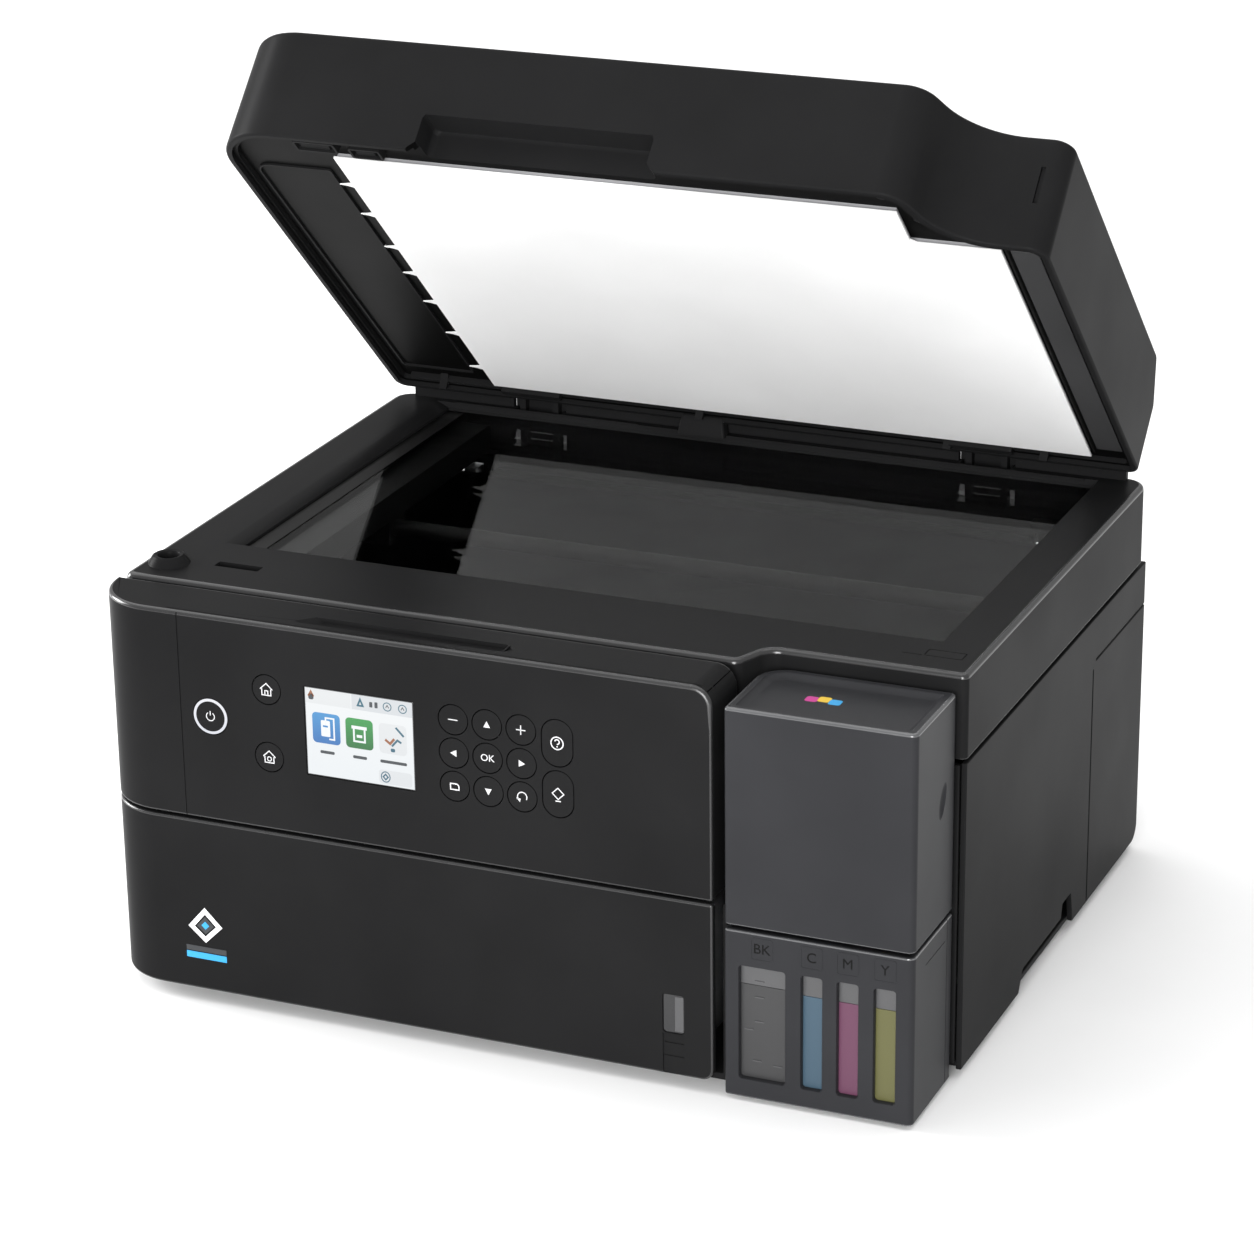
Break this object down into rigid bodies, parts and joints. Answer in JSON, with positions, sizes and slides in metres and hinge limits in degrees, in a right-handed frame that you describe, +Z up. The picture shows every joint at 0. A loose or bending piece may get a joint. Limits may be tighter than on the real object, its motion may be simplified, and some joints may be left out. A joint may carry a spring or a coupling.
{
  "type": "inkjet printer",
  "caption": "Desktop inkjet printer with refillable ink tanks, tilting control panel, paper cassette, flatbed scanner and lid with sheet feeder.",
  "frame": {"origin": "centre of the casing's footprint on the surface that the feet stand on", "axes": "+Z up, the front faces -Y, +X to the right seen from the front"},
  "size_m": [0.375, 0.3255, 0.3924],
  "materials": {
    "casing": "fine textured black",
    "tank_casing": "smoke grey, satin",
    "inner_plastic": "dark grey",
    "frame_steel": "zinc plated",
    "rubber": "matte",
    "roller_rubber": "ground rubber",
    "gear_plastic": "moulded acetal",
    "board_green": "solder mask",
    "tank_clear": "translucent",
    "cap_black": "satin",
    "cap_cyan": "satin",
    "cap_magenta": "satin",
    "cap_yellow": "satin",
    "glass": "clear float",
    "mat_white": "matte white",
    "screen_glass": "lit display",
    "key_plastic": "satin black"
  },
  "bodies": {
    "printer_base": {"base_housing": "casing", "left_cover": "casing", "right_cover": "casing", "rubber_feet": "rubber", "mech_frame": "frame_steel", "carriage_rail": "frame_steel", "platen": "inner_plastic", "carriage_motor": "frame_steel", "main_board": "board_green", "power_supply": "frame_steel", "ac_inlet": "inner_plastic", "data_ports": "inner_plastic", "tank_housing": "tank_casing", "ink_tanks": "tank_clear"},
    "tank_cover": {"ink_tank_cover": "tank_casing"},
    "cap_black_body": {"cap_black": "cap_black"},
    "cap_cyan_body": {"cap_cyan": "cap_cyan"},
    "cap_magenta_body": {"cap_magenta": "cap_magenta"},
    "cap_yellow_body": {"cap_yellow": "cap_yellow"},
    "carriage": {"print_carriage": "inner_plastic"},
    "pulley": {"belt_pulley": "gear_plastic"},
    "feed": {"feed_roller": "roller_rubber"},
    "eject": {"eject_roller": "roller_rubber"},
    "idler": {"drive_gear": "gear_plastic"},
    "pickup": {"pickup_roller": "roller_rubber"},
    "duplex_cover": {"rear_cover": "casing"},
    "waste_box": {"maintenance_box": "casing"},
    "cassette": {"cassette_tray": "inner_plastic", "cassette_front": "casing", "output_tray": "inner_plastic"},
    "guide_left": {"edge_guide_left": "inner_plastic"},
    "guide_right": {"edge_guide_right": "inner_plastic"},
    "panel": {"control_panel": "casing", "screen": "screen_glass"},
    "power_button_body": {"power_button": "key_plastic"},
    "home_button_body": {"home_button": "key_plastic"},
    "cloud_button_body": {"cloud_button": "key_plastic"},
    "minus_button_body": {"minus_button": "key_plastic"},
    "up_button_body": {"up_button": "key_plastic"},
    "plus_button_body": {"plus_button": "key_plastic"},
    "left_button_body": {"left_button": "key_plastic"},
    "ok_button_body": {"ok_button": "key_plastic"},
    "right_button_body": {"right_button": "key_plastic"},
    "paper_button_body": {"paper_button": "key_plastic"},
    "down_button_body": {"down_button": "key_plastic"},
    "stop_button_body": {"stop_button": "key_plastic"},
    "help_button_body": {"help_button": "key_plastic"},
    "start_button_body": {"start_button": "key_plastic"},
    "scanner_unit": {"scanner_base": "casing", "scanner_top": "casing", "platen_glass": "glass", "cis_rail": "frame_steel"},
    "sensor": {"cis_carriage": "inner_plastic"},
    "lid": {"lid_shell": "casing", "document_mat": "mat_white"},
    "feeder_cover": {"adf_cover": "casing"},
    "feeder_tray": {"adf_input_tray": "casing"},
    "feeder_guide_front": {"adf_guide_front": "inner_plastic"},
    "feeder_guide_back": {"adf_guide_back": "inner_plastic"},
    "feeder_roller": {"adf_roller": "roller_rubber"}
  },
  "joints": [
    {"name": "tank_cover_tilt", "type": "hinge", "parent": "printer_base", "child": "tank_cover", "pos_m": [0.143, -0.149, 0.084], "axis": [1, 0, 0], "range_deg": [0, 75]},
    {"name": "cap_black_flip", "type": "hinge", "parent": "printer_base", "child": "cap_black_body", "pos_m": [0.119, -0.12, 0.0795], "axis": [-1, 0, 0], "range_deg": [0, 95]},
    {"name": "cap_cyan_flip", "type": "hinge", "parent": "printer_base", "child": "cap_cyan_body", "pos_m": [0.1405, -0.12, 0.0795], "axis": [-1, 0, 0], "range_deg": [0, 95]},
    {"name": "cap_magenta_flip", "type": "hinge", "parent": "printer_base", "child": "cap_magenta_body", "pos_m": [0.156, -0.12, 0.0795], "axis": [-1, 0, 0], "range_deg": [0, 95]},
    {"name": "cap_yellow_flip", "type": "hinge", "parent": "printer_base", "child": "cap_yellow_body", "pos_m": [0.1715, -0.12, 0.0795], "axis": [-1, 0, 0], "range_deg": [0, 95]},
    {"name": "carriage_travel", "type": "slide", "parent": "printer_base", "child": "carriage", "axis": [-1, 0, 0], "range_m": [0, 0.26]},
    {"name": "pulley_spin", "type": "hinge", "parent": "printer_base", "child": "pulley", "pos_m": [-0.158, 0.056, 0.118], "axis": [0, 1, 0], "range_deg": [0, 2619]},
    {"name": "feed_spin", "type": "hinge", "parent": "printer_base", "child": "feed", "pos_m": [-0.05, 0.045, 0.088], "axis": [1, 0, 0], "continuous": true},
    {"name": "idler_spin", "type": "hinge", "parent": "printer_base", "child": "idler", "pos_m": [-0.181, 0.0125, 0.087], "axis": [1, 0, 0], "continuous": true},
    {"name": "eject_spin", "type": "hinge", "parent": "printer_base", "child": "eject", "pos_m": [-0.05, -0.02, 0.086], "axis": [1, 0, 0], "continuous": true},
    {"name": "pickup_spin", "type": "hinge", "parent": "printer_base", "child": "pickup", "pos_m": [-0.045, 0.075, 0.066], "axis": [1, 0, 0], "continuous": true},
    {"name": "duplex_cover_pull", "type": "slide", "parent": "printer_base", "child": "duplex_cover", "axis": [0, 1, 0], "range_m": [0, 0.08]},
    {"name": "waste_box_pull", "type": "slide", "parent": "printer_base", "child": "waste_box", "axis": [0, 1, 0], "range_m": [0, 0.09]},
    {"name": "cassette_pull", "type": "slide", "parent": "printer_base", "child": "cassette", "axis": [0, -1, 0], "range_m": [0, 0.2]},
    {"name": "guide_left_slide", "type": "slide", "parent": "cassette", "child": "guide_left", "axis": [1, 0, 0], "range_m": [0, 0.05]},
    {"name": "guide_right_slide", "type": "slide", "parent": "cassette", "child": "guide_right", "axis": [1, 0, 0], "range_m": [-0.05, 0]},
    {"name": "panel_tilt", "type": "hinge", "parent": "printer_base", "child": "panel", "pos_m": [-0.045, -0.135, 0.173], "axis": [-1, 0, 0], "range_deg": [0, 40]},
    {"name": "power_button_press", "type": "slide", "parent": "panel", "child": "power_button_body", "axis": [0, 1, 0], "range_m": [0, 0.0008], "stiffness_N_per_m": 300},
    {"name": "home_button_press", "type": "slide", "parent": "panel", "child": "home_button_body", "axis": [0, 1, 0], "range_m": [0, 0.0008], "stiffness_N_per_m": 300},
    {"name": "cloud_button_press", "type": "slide", "parent": "panel", "child": "cloud_button_body", "axis": [0, 1, 0], "range_m": [0, 0.0008], "stiffness_N_per_m": 300},
    {"name": "minus_button_press", "type": "slide", "parent": "panel", "child": "minus_button_body", "axis": [0, 1, 0], "range_m": [0, 0.0008], "stiffness_N_per_m": 300},
    {"name": "up_button_press", "type": "slide", "parent": "panel", "child": "up_button_body", "axis": [0, 1, 0], "range_m": [0, 0.0008], "stiffness_N_per_m": 300},
    {"name": "plus_button_press", "type": "slide", "parent": "panel", "child": "plus_button_body", "axis": [0, 1, 0], "range_m": [0, 0.0008], "stiffness_N_per_m": 300},
    {"name": "left_button_press", "type": "slide", "parent": "panel", "child": "left_button_body", "axis": [0, 1, 0], "range_m": [0, 0.0008], "stiffness_N_per_m": 300},
    {"name": "ok_button_press", "type": "slide", "parent": "panel", "child": "ok_button_body", "axis": [0, 1, 0], "range_m": [0, 0.0008], "stiffness_N_per_m": 300},
    {"name": "right_button_press", "type": "slide", "parent": "panel", "child": "right_button_body", "axis": [0, 1, 0], "range_m": [0, 0.0008], "stiffness_N_per_m": 300},
    {"name": "paper_button_press", "type": "slide", "parent": "panel", "child": "paper_button_body", "axis": [0, 1, 0], "range_m": [0, 0.0008], "stiffness_N_per_m": 300},
    {"name": "down_button_press", "type": "slide", "parent": "panel", "child": "down_button_body", "axis": [0, 1, 0], "range_m": [0, 0.0008], "stiffness_N_per_m": 300},
    {"name": "stop_button_press", "type": "slide", "parent": "panel", "child": "stop_button_body", "axis": [0, 1, 0], "range_m": [0, 0.0008], "stiffness_N_per_m": 300},
    {"name": "help_button_press", "type": "slide", "parent": "panel", "child": "help_button_body", "axis": [0, 1, 0], "range_m": [0, 0.0008], "stiffness_N_per_m": 300},
    {"name": "start_button_press", "type": "slide", "parent": "panel", "child": "start_button_body", "axis": [0, 1, 0], "range_m": [0, 0.0008], "stiffness_N_per_m": 300},
    {"name": "scanner_lift", "type": "hinge", "parent": "printer_base", "child": "scanner_unit", "pos_m": [0, 0.15, 0.146], "axis": [-1, 0, 0], "range_deg": [0, 28]},
    {"name": "sensor_travel", "type": "slide", "parent": "scanner_unit", "child": "sensor", "axis": [1, 0, 0], "range_m": [0, 0.28]},
    {"name": "lid_swing", "type": "hinge", "parent": "scanner_unit", "child": "lid", "pos_m": [0, 0.151, 0.188], "axis": [-1, 0, 0], "range_deg": [-43.5, 20]},
    {"name": "feeder_cover_lift", "type": "hinge", "parent": "lid", "child": "feeder_cover", "pos_m": [-0.1765, 0.09324, 0.30292], "axis": [0, -0.7254, 0.6884], "range_deg": [0, 60]},
    {"name": "feeder_tray_lift", "type": "hinge", "parent": "lid", "child": "feeder_tray", "pos_m": [-0.084, 0.09024, 0.30411], "axis": [0, -0.7254, 0.6884], "range_deg": [0, 35]},
    {"name": "feeder_guide_front_slide", "type": "slide", "parent": "feeder_tray", "child": "feeder_guide_front", "axis": [0, 0.7254, -0.6884], "range_m": [0, 0.03]},
    {"name": "feeder_guide_back_slide", "type": "slide", "parent": "feeder_tray", "child": "feeder_guide_back", "axis": [0, 0.7254, -0.6884], "range_m": [-0.03, 0]},
    {"name": "feeder_roller_spin", "type": "hinge", "parent": "lid", "child": "feeder_roller", "pos_m": [-0.13, 0.08113, 0.29015], "axis": [0, 0.7254, -0.6884], "continuous": true}
  ],
  "couplings": [
    {"joint": "pulley_spin", "follows": "carriage_travel", "rad_per_m": 175.44},
    {"joint": "idler_spin", "follows": "feed_spin", "ratio": -0.75676},
    {"joint": "eject_spin", "follows": "feed_spin", "ratio": 1},
    {"joint": "guide_right_slide", "follows": "guide_left_slide", "ratio": -1},
    {"joint": "feeder_guide_back_slide", "follows": "feeder_guide_front_slide", "ratio": -1}
  ]
}
